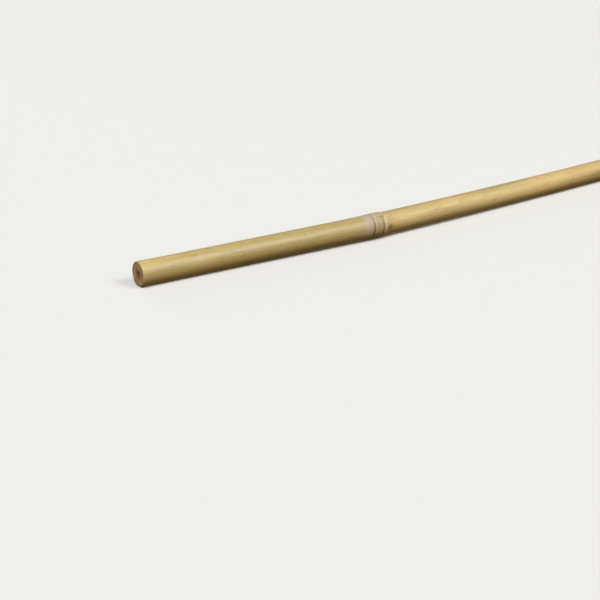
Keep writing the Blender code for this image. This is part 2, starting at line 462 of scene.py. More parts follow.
def butt_middle():
    """Where the middle of the solid's sawn butt lies, along X and Y."""
    places = [v.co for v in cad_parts[CANE_NODE].data.vertices if v.co.x < CAD_LOW.x + 2 * MM]
    along = [place.x for place in places]
    across = [place.y for place in places]
    return Vector(((min(along) + max(along) - SAWN_EDGE) / 2, (min(across) + max(across)) / 2, 0.0))


def grow(stem, mesh):
    """Carry a straight mesh to the cane's own line, with its sections square to the way the line runs.

    The skin is worn flat where it lies on the ground.
    """
    heights = height_points(stem)
    butt = butt_middle()
    for vertex in mesh.vertices:
        straight = vertex.co.copy()
        at = straight.x
        forwards = saw_lean(stem, straight) - side_slope(stem, at) * straight.y
        shift = Vector((forwards, side_sway(stem, at), straight_between(at, heights)))
        vertex.co = straight + shift + butt
        vertex.co.z = max(vertex.co.z, 0.0)


def turned_from_up(angle):
    """Unit vector across the stem, turned this far from straight up towards -Y."""
    return Vector((0.0, -math.sin(angle), math.cos(angle)))


def branch_direction(index):
    """Unit vector from the centre line towards a node's branch side."""
    return turned_from_up(BRANCH_ANGLES[index])


def groove_depth(stem, at, direction):
    """Depth of the branch grooves at one place along the stem and one direction from its centre line."""
    depth = 0.0
    for index, node in enumerate(stem.nodes):
        past = at - node
        start = smooth_step((past - GROOVE_START) / (GROOVE_FULL - GROOVE_START))
        fade = 1 - smooth_step((past - GROOVE_FULL) / (GROOVE_END - GROOVE_FULL))
        if start * fade > 0:
            away = direction.angle(branch_direction(index)) / GROOVE_HALF_ANGLE
            depth += GROOVE_DEPTHS[index] * start * fade * math.exp(-away * away)
    return depth


def branch_collar(stem, at, direction):
    """Rise of the skin round the foot of a trimmed branch."""
    index = nearest_node(stem, at)
    along = (at - stem.nodes[index] - STUB_UP_STEM) / COLLAR_REACH
    around = direction.angle(branch_direction(index)) / COLLAR_ANGLE
    return math.exp(-along * along - around * around) * STUBS[index][1] * COLLAR_SHARE


def past_scar(stem, at, direction):
    """How far past its sheath scar a point of the skin is. The scar bends up the stem beside the branch."""
    index = nearest_node(stem, at)
    turn = direction.angle(branch_direction(index)) / SCAR_BEND_ANGLE
    return at - stem.nodes[index] - SCAR_BEND * math.exp(-turn * turn)


def node_marks(stem, at, direction):
    """Fine rings of the root band, and the torn edge of the sheath scar."""
    index = nearest_node(stem, at)
    past = past_scar(stem, at, direction) / MM
    if not -3 < past < 11:
        return 0.0
    ragged = noise.noise(direction * 4.0 + Vector((index * 9.0, 0, 0)))
    finely_ragged = noise.noise(direction * 15.0 + Vector((index * 5.0, 3.0, 0)))
    height, width = LIP_SIZE
    from_lip = (past + 0.2 - 0.25 * ragged) / width
    lip = height * math.exp(-(from_lip**2)) * (0.6 + 0.9 * finely_ragged)
    start, end = BAND_RING_REACH
    in_band = smooth_step((past - start) / BAND_RING_FADE) * (1 - smooth_step((past - end) / BAND_RING_FADE))
    height, spacing = BAND_RING_SIZE
    turn = 2 * math.pi * (past + 0.35 * ragged) / spacing
    rings = height * in_band * math.sin(turn) * (0.7 + 0.6 * finely_ragged)
    return (lip + rings) * MM * BOLDNESS[index]


def stain_strength(stem, straight):
    """How strongly the skin is stained at a point: one small patch past each node."""
    strength = 0.0
    for index, (past, angle, reach) in enumerate(STAINS):
        along = (straight.x - stem.nodes[index] - past) / reach
        across = Vector((0.0, straight.y, straight.z))
        if abs(along) < 3 and across.length > 0:
            around = across.angle(turned_from_up(angle)) * across.length / reach
            strength += math.exp(-along * along - around * around)
    return strength


def unevenness(stem, at, direction):
    """Slow, long waves in the skin, and finer ones that run along the fibres."""
    broad = noise.noise(Vector((at / WAVE_LENGTH, direction.y * 1.3, direction.z * 1.3)))
    long_fibre = noise.noise(Vector((at / FIBRE_WAVE_LENGTH, direction.y * 6.0, direction.z * 6.0 + 7.0)))
    return (broad * 0.8 + long_fibre * 0.35) * stem.unevenness


def cut_profile(rim, hollow, depth):
    """(place, radius) of a hollow, the sawn face round it and its worn edge, from the inside out."""
    face = rim - WORN_EDGE
    points = [(depth, 0.0), (depth, hollow)]
    points += [(depth * share, hollow) for share in HOLLOW_SHARES]
    points += [(CUT_DISH * (1 - share) ** 2, hollow + (face - hollow) * share) for share in FACE_SHARES]
    points += [(WORN_EDGE * (1 - math.cos(a)), face + WORN_EDGE * math.sin(a)) for a in WORN_ANGLES]
    return points


def culm_profile(stem):
    """(place, radius) of the turned outline, from the end of the butt's hollow to the end of the tip's."""
    butt_hollow, tip_hollow = stem.hollow_radii
    tip = stem.length
    tip_rim = stem_radius(stem, tip, len(stem.nodes))
    points = cut_profile(stem_radius(stem, 0, 0), butt_hollow, stem.nodes[0] - NODE_WALL)
    points += [(at, skin_radius(stem, at)) for at in ring_places(stem)]
    tip_end = cut_profile(tip_rim, tip_hollow, tip - stem.nodes[-1] - NODE_WALL)
    points += [(tip - at, radius) for at, radius in reversed(tip_end)]
    return points


def store_stem_places(shape, stem):
    """Keep each point's place on the straight stem, and how far past a scar it is, for the materials."""
    place_layer = shape.verts.layers.float_vector.new("stem_place")
    scar_layer = shape.verts.layers.float.new("past_scar")
    for vert in shape.verts:
        vert[place_layer] = vert.co / MM
        direction = Vector((0.0, vert.co.y, vert.co.z))
        if direction.length > 0:
            vert[scar_layer] = past_scar(stem, vert.co.x, direction.normalized()) / MM


def store_cut_places(shape, radius):
    """Keep each point's place on a sawn face across Z: its share of the radius, and its two sides in mm."""
    layer = shape.verts.layers.float_vector.new("cut_place")
    for vert in shape.verts:
        vert[layer] = (vert.co.xy.length / radius, vert.co.x / MM, vert.co.y / MM)


def store_culm_places(shape, stem):
    """Keep what the culm's own materials need: places on its cuts, and the strength of its stains."""
    cut_layer = shape.verts.layers.float_vector.new("cut_place")
    stain_layer = shape.verts.layers.float.new("stain")
    for vert in shape.verts:
        rim = stem.diameters[0 if vert.co.x < stem.length / 2 else -1] / 2
        reach = math.hypot(vert.co.y, vert.co.z)
        vert[cut_layer] = (reach / rim, vert.co.y / MM, vert.co.z / MM)
        vert[stain_layer] = stain_strength(stem, vert.co)


def choose_culm_materials(shape, stem):
    """Give the skin its rind, both cuts their sawn wood, and the hollows their lining."""
    ends = ((0.0, 0), (stem.length, len(stem.nodes)))
    rims = [stem_radius(stem, at, internode) - WORN_EDGE for at, internode in ends]
    inside = (min(stem.diameters) / 2 - SAWN_EDGE) * 0.9
    for face in shape.faces:
        middle = face.calc_center_median()
        end = 0 if middle.x < stem.length / 2 else 1
        reach = math.hypot(middle.y, middle.z)
        near_cut = min(middle.x, stem.length - middle.x) < CUT_DEPTH
        hollow = stem.hollow_radii[end]
        if reach < hollow * 1.02 and not (near_cut and reach > hollow):
            face.material_index = LINING
        elif reach < inside or (near_cut and reach < rims[end]):
            face.material_index = SAWN


def raise_skin(shape, stem):
    """Press the turned skin out of round: collars, grooves, the fine marks of the nodes, and slow waves."""
    inside = (min(stem.diameters) / 2 - SAWN_EDGE) * 0.98
    for vert in shape.verts:
        outwards = Vector((0.0, vert.co.y, vert.co.z))
        if outwards.length < inside:
            continue
        direction = outwards.normalized()
        at = vert.co.x
        shift = branch_collar(stem, at, direction) - groove_depth(stem, at, direction)
        shift += node_marks(stem, at, direction) + unevenness(stem, at, direction)
        vert.co += direction * shift


def roughen_peg(shape, index, top_radius, depth):
    """Swell the foot of a trimmed branch, and make its side and its top uneven."""
    for vert in shape.verts:
        reach = vert.co.xy.length
        if reach < 0.1 * MM:
            continue
        tilt = vert.co.normalized().x
        turn = Vector((vert.co.x, vert.co.y, 0.0)) / reach
        rough = noise.noise(Vector((turn.x * 2.4, turn.y * 2.4, vert.co.z / (1.5 * MM) + index * 7.0)))
        flutes = noise.noise(Vector((turn.x * 7.0, turn.y * 7.0, index * 3.0)))
        if reach > top_radius * 0.97:
            foot = FOOT_SWELL * math.exp(-max(0.0, vert.co.z - STUB_SINK) / FOOT_REACH)
            vert.co.xy = vert.co.xy * (1 + foot + STUB_ROUGHNESS * rough + STUB_FLUTES * flutes)
        if vert.co.z > depth * 0.98:
            vert.co.z += TOP_ROUGHNESS * (rough + tilt)


def round_peg_rim(shape, top_radius, depth):
    """Break the sharp edge of a stub's sawn top."""
    rim = [edge for edge in shape.edges if all(abs(v.co.z - depth) < 0.2 * MM for v in edge.verts)]
    rim = [edge for edge in rim if any(face.normal.z < 0.5 for face in edge.link_faces)]
    rim = [edge for edge in rim if min(v.co.xy.length for v in edge.verts) > top_radius * 0.9]
    bmesh.ops.bevel(
        shape,
        geom=rim,
        offset=STUB_EDGE,
        segments=2,
        profile=0.5,
        affect="EDGES",
        material=-1,
        clamp_overlap=True,
    )


def branch_peg(stem, index):
    """A trimmed branch on the straight stem: an oval peg that leans up the stem, with a sawn top."""
    radius, height = STUBS[index]
    top_radius = radius * STUB_TOP_SHARE
    depth = height + STUB_SINK + STUB_STRETCH * radius * math.tan(STUB_LEAN) / 2
    shape = bmesh.new()
    bmesh.ops.create_cone(
        shape,
        cap_ends=True,
        segments=STUB_SEGMENTS,
        radius1=radius,
        radius2=top_radius,
        depth=depth,
        matrix=Matrix.Translation((0.0, 0.0, depth / 2)),
    )
    sides = [edge for edge in shape.edges if abs(edge.verts[0].co.z - edge.verts[1].co.z) > depth / 2]
    bmesh.ops.subdivide_edges(shape, edges=sides, cuts=STUB_RINGS)
    top = [face for face in shape.faces if min(vert.co.z for vert in face.verts) > depth * 0.999]
    for share in TOP_INSETS:
        bmesh.ops.inset_region(shape, faces=top, thickness=top_radius * share)
    bmesh.ops.inset_region(shape, faces=top, thickness=PITH_RIM, depth=-PITH_DEPTH)
    store_cut_places(shape, top_radius)
    roughen_peg(shape, index, top_radius, depth)
    round_peg_rim(shape, top_radius, depth)
    shape.normal_update()
    for face in shape.faces:
        middle = face.calc_center_median()
        reach = middle.xy.length
        if middle.z > depth - CUT_DEPTH and reach < top_radius * 0.93:
            face.material_index = LINING if reach < top_radius * PITH_SHARE else SAWN
    at = stem.nodes[index] + STUB_UP_STEM
    outwards = branch_direction(index)
    upright = outwards.to_track_quat("Z", "X").to_matrix().to_4x4()
    along = upright.inverted() @ UP_STEM
    lean = Matrix.Rotation(STUB_LEAN, 4, Vector((0.0, 0.0, 1.0)).cross(along))
    stretch = Matrix.Scale(STUB_STRETCH, 4, along)
    foot = stem_radius(stem, at, index + 1) - STUB_SINK
    seat = Matrix.Translation(UP_STEM * at + outwards * foot)
    bmesh.ops.transform(shape, matrix=seat @ upright @ lean @ stretch, verts=shape.verts[:])
    return shape


def flat_bud(stem, index):
    """The first node never branched: its bud lies flat up the stem, under two papery scales."""
    shape = bmesh.new()
    bmesh.ops.create_uvsphere(shape, u_segments=64, v_segments=40, radius=1.0)
    half_length, half_width, height = BUD_SIZE
    for vert in shape.verts:
        along, across, up = vert.co
        thick = 0.70
        for end, cut_back in BUD_SCALES:
            thick += 0.16 * smooth_step((end - along - cut_back * across * across) / BUD_SCALE_FADE)
        veins = math.sin(across * 26.0 + noise.noise(Vector((along * 2.0, across * 3.0, 4.0))) * 2.0)
        torn = noise.noise(Vector((along * 6.0, across * 5.0, up * 3.0)))
        thick += 0.05 * veins + 0.22 * torn
        taper = 1 - 0.5 * ((along + 1) / 2) ** 1.6
        vert.co = (along * half_length, across * half_width * taper, up * height * thick)
    outwards = branch_direction(index)
    turn = Matrix((UP_STEM, outwards.cross(UP_STEM), outwards)).transposed().to_4x4()
    band = stem_radius(stem, stem.nodes[index], index) + ROOT_BAND_RISE * BOLDNESS[index] * MM
    at = stem.nodes[index] + BUD_UP_STEM
    seat = Matrix.Translation(UP_STEM * at + outwards * (band + BUD_LIFT))
    bmesh.ops.transform(shape, matrix=seat @ turn, verts=shape.verts[:])
    return shape


def fibre_blank():
    """A straight fibre, one unit long up Z and one unit wide at its root, with rings where it can bend."""
    shape = bmesh.new()
    bmesh.ops.create_cone(
        shape,
        cap_ends=True,
        segments=4,
        radius1=0.5,
        radius2=0.12,
        depth=1.0,
        matrix=Matrix.Translation((0.0, 0.0, 0.5)),
    )
    long_edges = [edge for edge in shape.edges if abs(edge.verts[0].co.z - edge.verts[1].co.z) > 0.5]
    bmesh.ops.subdivide_edges(shape, edges=long_edges, cuts=3)
    mesh = bpy.data.meshes.new("fibre_blank")
    shape.to_mesh(mesh)
    shape.free()
    return mesh


def add_fibre(shape, blank, root, along, lift, size, curl):
    """Add one fibre from its root. It runs along, and bends towards lift by the curl."""
    length, width = size
    side = along.cross(lift).normalized()
    first = len(shape.verts)
    shape.from_mesh(blank)
    shape.verts.ensure_lookup_table()
    for vert in shape.verts[first:]:
        across, up, share = vert.co
        bend = lift * (curl * share * share)
        thick = side * (across * width) + lift * (up * FIBRE_THICKNESS)
        vert.co = root + along * (length * share) + bend + thick


def scar_fibres(stem, index, count, draw):
    """What is left of the torn sheath: short fibres and flakes along its scar, many of them by the branch."""
    blank = fibre_blank()
    shape = bmesh.new()
    branch = branch_direction(index)
    sideways = branch.cross(UP_STEM)
    for number in range(count):
        beside_branch = number % 3 == 0
        turn = draw.gauss(0.0, 0.45) if beside_branch else draw.uniform(-math.pi, math.pi)
        direction = branch * math.cos(turn) + sideways * math.sin(turn)
        past = draw.uniform(-0.1, 0.5) * MM
        flake = draw.random() < FLAKE_CHANCE
        stretch = BESIDE_BRANCH_STRETCH if beside_branch else 1.0
        length = draw.uniform(*SCAR_FIBRE_LENGTHS) * MM * BOLDNESS[index] * stretch
        width = draw.uniform(*(FLAKE_WIDTHS if flake else SCAR_FIBRE_WIDTHS)) * MM
        root = UP_STEM * (stem.nodes[index] + past)
        root += direction * (node_radius(stem, index, past) - 0.02 * MM)
        skew = sideways * draw.gauss(0.0, 0.25)
        skew -= direction * skew.dot(direction)
        along = (UP_STEM + skew).normalized()
        curl = draw.uniform(-0.05, 0.22) * MM
        add_fibre(shape, blank, root, along, direction, (length, width), curl)
    bpy.data.meshes.remove(blank)
    return shape


def saw_fibres(stem, end, count, draw):
    """Fibres that the saw tore out round the far side of one cut."""
    blank = fibre_blank()
    shape = bmesh.new()
    outwards = UP_STEM * (-1.0 if end == 0 else 1.0)
    at = 0.0 if end == 0 else stem.length
    rim = stem_radius(stem, at, 0 if end == 0 else len(stem.nodes))
    for _ in range(count):
        direction = turned_from_up(draw.gauss(SAW_EXIT_ANGLE, 0.7))
        root = UP_STEM * at - outwards * 0.1 * MM + direction * (rim - draw.uniform(0.1, 0.45) * MM)
        along = (outwards + direction * draw.uniform(0.0, 0.5)).normalized()
        lift = (direction - along * along.dot(direction)).normalized()
        size = (draw.uniform(*SAW_FIBRE_LENGTHS) * MM, draw.uniform(*SAW_FIBRE_WIDTHS) * MM)
        add_fibre(shape, blank, root, along, lift, size, draw.uniform(-0.1, 0.2) * MM)
    bpy.data.meshes.remove(blank)
    return shape


def finish_piece(name, shape, materials, stem):
    """Turn a straight bmesh into a finished object on the cane."""
    mesh = bpy.data.meshes.new(name)
    shape.to_mesh(mesh)
    shape.free()
    grow(stem, mesh)
    for material in materials:
        mesh.materials.append(material)
    mesh.shade_smooth()
    piece = bpy.data.objects.new(name, mesh)
    bpy.context.scene.collection.objects.link(piece)
    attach(piece, BODY)
    return piece


def plain_value(value):
    """A value as a socket takes it: an sRGB hex colour is made linear, and any other stays as it is."""
    return linear(value) if isinstance(value, str) else value


def add_node(tree, kind, inputs=None, stops=None, **settings):
    """Add one node with its settings, its input values or links, and the stops of a colour ramp."""
    node = tree.nodes.new(kind)
    for name, value in settings.items():
        setattr(node, name, value)
    for name, value in (inputs or {}).items():
        if isinstance(value, bpy.types.NodeSocket):
            tree.links.new(value, node.inputs[name])
        else:
            node.inputs[name].default_value = plain_value(value)
    if stops:
        elements = node.color_ramp.elements
        while len(elements) > 1:
            elements.remove(elements[-1])
        elements[0].position = stops[0][0]
        elements[0].color = plain_value(stops[0][1])
        for position, colour in stops[1:]:
            elements.new(position).color = plain_value(colour)
    return node


def new_material(name, values):
    """A node material with its output, its Principled shader with the given values, and that shader."""
    material = bpy.data.materials.new(name)
    material.use_nodes = True
    tree = material.node_tree
    tree.nodes.clear()
    shader = add_node(tree, "ShaderNodeBsdfPrincipled", values)
    add_node(tree, "ShaderNodeOutputMaterial", {"Surface": shader.outputs[0]})
    return material, tree, shader


# Colours across a node, as (mm past the sheath scar, colour, how much of it shows over the skin)
NODE_BANDS = (
    (-14.0, "bloom", 0.0),
    (-6.8, "bloom", 0.15),
    (-5.0, "bloom", 0.45),
    (-4.1, "bloom", 0.9),
    (-3.1, "bloom", 0.8),
    (-2.5, "mauve", 0.85),
    (-1.9, "bloom", 0.9),
    (-0.9, "mauve", 0.85),
    (1.0, "cream", 0.4),
    (1.6, "tan", 0.7),
    (4.8, "tan", 0.7),
    (6.4, "tan", 0.6),
    (6.9, "cream", 0.4),
    (7.4, "cream", 0.85),
    (7.9, "cream", 0.6),
    (8.7, "cream", 0.15),
    (10.5, "cream", 0.0),
)
# Thin dark lines in the scar and in the grooves of the band, as (mm past the scar, strength). They are partly
# the brown line the sheath left and partly painted shade in the grooves
SCAR_AND_SHADE_LINES = (
    *((-1.2, 0.0), (-0.6, 0.25), (-0.2, 1.0), (0.35, 1.0), (0.75, 0.35), (1.0, 0.0)),
    *((1.7, 0.1), (2.1, 0.45), (2.5, 0.12), (3.4, 0.0)),
    *((4.3, 0.22), (4.7, 0.05), (5.3, 0.2), (5.7, 0.9), (6.2, 0.75), (6.6, 0.0)),
)
# The bands and lines are drawn from one of these to the other, in mm past the scar
BANDS_START, BANDS_END = -22.0, 23.0
# The second stretch is painted paler on its front, as painted light that stands in for light bounced onto it.
# This sets in between these distances past its first node, and fades out between these distances short of its
# second, in mm
PAINTED_LIGHT_START = (7.0, 19.0)
PAINTED_LIGHT_END = (106.0, 21.0)


def band_share(past):
    """Place of a point past a scar, in mm, on the ramps that draw the bands and lines of a node."""
    return (past - BANDS_START) / (BANDS_END - BANDS_START)


def dried_bamboo_rind(stem, rind):
    """Skin of a dried bamboo culm: hard, smooth and faintly glossy, in straw and olive.

    Its fibres run along the stem as fine streaks. Wax bloom is left under each node, the sheath has left a
    brown line, darkened in its grooves and towards the lower side with painted shade, and small brown specks
    of mould and stains lie scattered over it. The front of the second stretch is painted paler with painted
    bounce light.
    """
    gloss = {"IOR": 1.5, "Specular IOR Level": 0.9, "Coat Weight": 0.5, "Coat Roughness": 0.42}
    material, tree, shader = new_material("dried_bamboo_rind", gloss)
    place = add_node(tree, "ShaderNodeAttribute", attribute_name="stem_place").outputs["Vector"]
    past = add_node(tree, "ShaderNodeAttribute", attribute_name="past_scar").outputs["Fac"]
    stain = add_node(tree, "ShaderNodeAttribute", attribute_name="stain").outputs["Fac"]
    along, sideways, upwards = add_node(tree, "ShaderNodeSeparateXYZ", {0: place}).outputs

    # Patterns in the skin: grains to the millimetre along and across the stem, detail and roughness. The
    # patches dried greener. The streaks are bundles of fibres, 45 mm long and 0.5 mm wide, and the striae are
    # single fibres, 12 mm long and 0.15 mm wide. The blotches are marks of rain and handling, 2 to 5 mm long
    patterns = {
        "patches": (1 / 70, 1 / 8, 3.0, 0.5),
        "streaks": (1 / 45, 1 / 0.5, 4.0, 0.5),
        "striae": (1 / 12, 1 / 0.15, 3.0, 0.5),
        "blotches": (1 / 5, 1 / 2, 5.0, 0.62),
        "waver": (0.25, 0.55, 4.0, 0.5),
        "dirt": (0.1, 0.5, 5.0, 0.5),
        "dots": (1.3, 1.6, 2.0, 0.5),
    }
    grains = {}
    for name, (lengthwise, across, detail, rough) in patterns.items():
        scale = (lengthwise, across, across)
        space = add_node(tree, "ShaderNodeVectorMath", {0: place, 1: scale}, operation="MULTIPLY")
        settings = {"Vector": space.outputs[0], "Scale": 1.0, "Detail": detail, "Roughness": rough}
        grains[name] = add_node(tree, "ShaderNodeTexNoise", settings).outputs["Fac"]
    # Specks of mould, a few to each 30 mm, and each under 0.5 mm
    speck_scale = (1 / 6.5, 1 / 4, 1 / 4)
    speck_space = add_node(tree, "ShaderNodeVectorMath", {0: place, 1: speck_scale}, operation="MULTIPLY")
    specks = add_node(tree, "ShaderNodeTexVoronoi", {"Vector": speck_space.outputs[0], "Scale": 1.0})
    chance = add_node(tree, "ShaderNodeSeparateColor", {0: specks.outputs["Color"]}).outputs[0]
    picked = add_node(tree, "ShaderNodeMath", {0: chance, 1: 0.72}, operation="GREATER_THAN").outputs[0]

    # Masks: what each is read from, where it starts and ends there, and its strength at both
    first, second = (node / MM for node in stem.nodes[:2])
    ranges = {
        "green": (grains["patches"], 0.38, 0.64, 0.0, 1.0),
        "ripeness": (along, 0.0, stem.length / MM, 0.0, 1.0),
        # painted light: the front of the second stretch is paler, standing in for light bounced onto it
        "painted light side": (sideways, -1.5, -5.0, 0.0, 0.42),
        "painted light start": (along, first + PAINTED_LIGHT_START[0], first + PAINTED_LIGHT_START[1], 0.0, 1.0),
        "painted light end": (along, second - PAINTED_LIGHT_END[1], second - PAINTED_LIGHT_END[0], 0.0, 1.0),
        "waver": (grains["waver"], 0.0, 1.0, -0.45, 0.45),
        # painted shade: the scar lines grow darker towards the lower side of the stem
        "painted_shade_below": (upwards, 0.0, 5.8, 1.0, 0.35),
        "patchy": (grains["dirt"], 0.3, 0.6, 0.6, 1.0),
        "dotted": (grains["dots"], 0.38, 0.52, 0.0, 1.0),
        "speck": (specks.outputs["Distance"], 0.05, 0.10, 1.0, 0.0),
        "gloss": (grains["streaks"], 0.0, 1.0, -0.08, 0.08),
    }
    masks = {}
    for name, (value, start, end, low, high) in ranges.items():
        limits = {"From Min": start, "From Max": end, "To Min": low, "To Max": high}
        masks[name] = add_node(tree, "ShaderNodeMapRange", {"Value": value, **limits}).outputs[0]

    # A node's bands and lines, read from how far past the scar a point is, which wavers a little
    waved = add_node(tree, "ShaderNodeMath", {0: past, 1: masks["waver"]}, operation="ADD").outputs[0]
    reach = {"From Min": BANDS_START, "From Max": BANDS_END}
    band_place = add_node(tree, "ShaderNodeMapRange", {"Value": waved, **reach}).outputs[0]
    colours = {
        "bloom": tuple(rind.bloom),
        "mauve": linear("a5917c"),
        "cream": linear("d4c197"),
        "tan": linear("b29f80"),
    }
    band_stops = [(band_share(at), (*colours[name][:3], shown)) for at, name, shown in NODE_BANDS]
    bands = add_node(tree, "ShaderNodeValToRGB", {0: band_place}, stops=band_stops)
    line_stops = [(band_share(at), (dark, dark, dark, 1.0)) for at, dark in SCAR_AND_SHADE_LINES]
    lines = add_node(tree, "ShaderNodeValToRGB", {0: band_place}, stops=line_stops)

    # Shares that several masks make together. The scar lines are painted darker towards the lower side, as
    # painted shade
    products = {
        "painted_bounce_light": (masks["painted light side"], masks["painted light start"], masks["painted light end"]),
        "scar_lines_and_shade": (lines.outputs["Color"], masks["painted_shade_below"], masks["patchy"]),
        "stained": (stain, masks["dotted"]),
        "specked": (masks["speck"], picked, 0.75),
    }
    shares = {}
    for name, (share, *others) in products.items():
        for other in others:
            share = add_node(tree, "ShaderNodeMath", {0: share, 1: other}, operation="MULTIPLY").outputs[0]
        shares[name] = share

    # The butt is paler, and the stretches ripened differently: the first greener, the second more golden
    first, second, third, fourth = (node / stem.length for node in stem.nodes)
    ripening = (
        (0.0, "d2ba78"),
        (0.012, "d2ba78"),
        (0.03, rind.straw),
        (0.07, rind.olive),
        (first - 0.01, rind.olive),
        (first + 0.01, rind.golden),
        (second - 0.01, rind.golden),
        (second + 0.01, rind.straw),
        (third - 0.01, rind.straw),
        (third + 0.01, rind.golden),
        (fourth + 0.01, rind.straw),
    )
    tints = {"ripeness": add_node(tree, "ShaderNodeValToRGB", {0: masks["ripeness"]}, stops=ripening)}
    for name, low, middle, high in (
        ("streaks", (0.25, "dcd6c8"), (0.5, "ffffff"), (0.8, "efe6d2")),
        ("striae", (0.3, "cfc3a6"), (0.52, "ffffff"), (0.8, "fff4dc")),
        ("blotches", (0.3, "d8cdb4"), (0.48, "ffffff"), (0.75, "fff7e4")),
    ):
        tints[name] = add_node(tree, "ShaderNodeValToRGB", {0: grains[name]}, stops=(low, middle, high))

    # What lies over the ripened skin, from the bottom up: how much of it shows, its colour and its blending
    layers = (
        (masks["green"], rind.olive, "MIX"),
        # painted light on the front of the second stretch
        (shares["painted_bounce_light"], "f4db9f", "MIX"),
        (0.75, tints["streaks"].outputs["Color"], "MULTIPLY"),
        (0.6, tints["striae"].outputs["Color"], "MULTIPLY"),
        (0.6, tints["blotches"].outputs["Color"], "MULTIPLY"),
        (bands.outputs["Alpha"], bands.outputs["Color"], "MIX"),
        # the sheath's brown lines, with painted shade in the grooves and towards the lower side
        (shares["scar_lines_and_shade"], rind.scar, "MIX"),
        (shares["stained"], "55401c", "MIX"),
        (shares["specked"], "6b5330", "MIX"),
    )
    skin = tints["ripeness"].outputs["Color"]
    for share, colour, blend in layers:
        inputs = {0: share, 6: skin, 7: colour}
        skin = add_node(tree, "ShaderNodeMix", inputs, data_type="RGBA", blend_type=blend).outputs[2]
    tree.links.new(skin, shader.inputs["Base Color"])

    # Wax bloom is duller than the bare skin, and the streaks vary the gloss a little
    dulling = {"To Min": rind.roughness, "To Max": rind.roughness + 0.22}
    dull = add_node(tree, "ShaderNodeMapRange", {"Value": bands.outputs["Alpha"], **dulling}).outputs[0]
    roughness = add_node(tree, "ShaderNodeMath", {0: dull, 1: masks["gloss"]}, operation="ADD")
    tree.links.new(roughness.outputs[0], shader.inputs["Roughness"])

    # Depth in mm and strength of the patterns that can be felt
    normal = {}
    for name, depth, strength in (("streaks", 0.03, 0.6), ("striae", 0.015, 0.6), ("blotches", 0.04, 0.5)):
        relief = {"Height": grains[name], "Distance": depth * MM, "Strength": strength}
        bump = add_node(tree, "ShaderNodeBump", {**relief, **normal})
        normal = {"Normal": bump.outputs[0]}
    tree.links.new(bump.outputs[0], shader.inputs["Normal"])
    return material


def sawn_bamboo(cut):
    """End grain of a sawn bamboo wall: dull, mauve-brown, dotted with the ends of fibre bundles."""
    material, tree, shader = new_material("sawn_bamboo", {"Roughness": 0.78})
    place = add_node(tree, "ShaderNodeAttribute", attribute_name="cut_place").outputs["Vector"]
    share = add_node(tree, "ShaderNodeSeparateXYZ", {0: place}).outputs[0]
    rings = (
        (0.15, "50381c"),
        (0.22, cut.pith),
        (0.36, cut.pith),
        (0.48, cut.wood),
        (0.86, cut.wood),
        (0.93, "a58a60"),
        (0.965, cut.skin_edge),
    )
    grain = add_node(tree, "ShaderNodeValToRGB", {0: share}, stops=rings).outputs["Color"]
    # Grains to the millimetre, both ways across the face: soft patches of sap, saw marks 0.6 mm apart, and
    # fibre bundles 0.5 mm apart
    spaces = {}
    for name, sideways, upwards in (("sap", 0.16, 0.16), ("marks", 1.7, 0.12), ("bundles", 2.0, 2.0)):
        scale = (0.0, sideways, upwards)
        space = add_node(tree, "ShaderNodeVectorMath", {0: place, 1: scale}, operation="MULTIPLY")
        spaces[name] = {"Vector": space.outputs[0], "Scale": 1.0}
    sap = add_node(tree, "ShaderNodeTexNoise", {**spaces["sap"], "Detail": 2.0})
    marks = add_node(tree, "ShaderNodeTexNoise", {**spaces["marks"], "Detail": 3.0})
    bundles = add_node(tree, "ShaderNodeTexVoronoi", spaces["bundles"])
    # Half of the face is stained mauve by sap
    stained = {"From Min": 0.4, "From Max": 0.6, "To Max": 0.7}
    sap_share = add_node(tree, "ShaderNodeMapRange", {"Value": sap.outputs["Fac"], **stained})
    # The bundles are dark dots in a paler ground, and the saw marks darken the whole face in lines
    dot_stops = ((0.12, "a58768"), (0.3, "efe0cc"), (0.55, "ffffff"))
    dots = add_node(tree, "ShaderNodeValToRGB", {0: bundles.outputs["Distance"]}, stops=dot_stops)
    mark_stops = ((0.3, "b9a894"), (0.6, "ffffff"))
    mark_tint = add_node(tree, "ShaderNodeValToRGB", {0: marks.outputs["Fac"]}, stops=mark_stops)
    for shown, colour in (
        (sap_share.outputs[0], "d9c8d4"),
        (0.8, dots.outputs["Color"]),
        (0.5, mark_tint.outputs["Color"]),
    ):
        inputs = {0: shown, 6: grain, 7: colour}
        grain = add_node(tree, "ShaderNodeMix", inputs, data_type="RGBA", blend_type="MULTIPLY").outputs[2]
    tree.links.new(grain, shader.inputs["Base Color"])
    relief = {"Height": marks.outputs["Fac"], "Distance": 0.08 * MM, "Strength": 0.7}
    mark_bump = add_node(tree, "ShaderNodeBump", relief)
    relief = {"Height": bundles.outputs["Distance"], "Distance": 0.05 * MM, "Strength": 0.6}
    bundle_bump = add_node(tree, "ShaderNodeBump", {**relief, "Normal": mark_bump.outputs[0]})
    tree.links.new(bundle_bump.outputs[0], shader.inputs["Normal"])
    return material


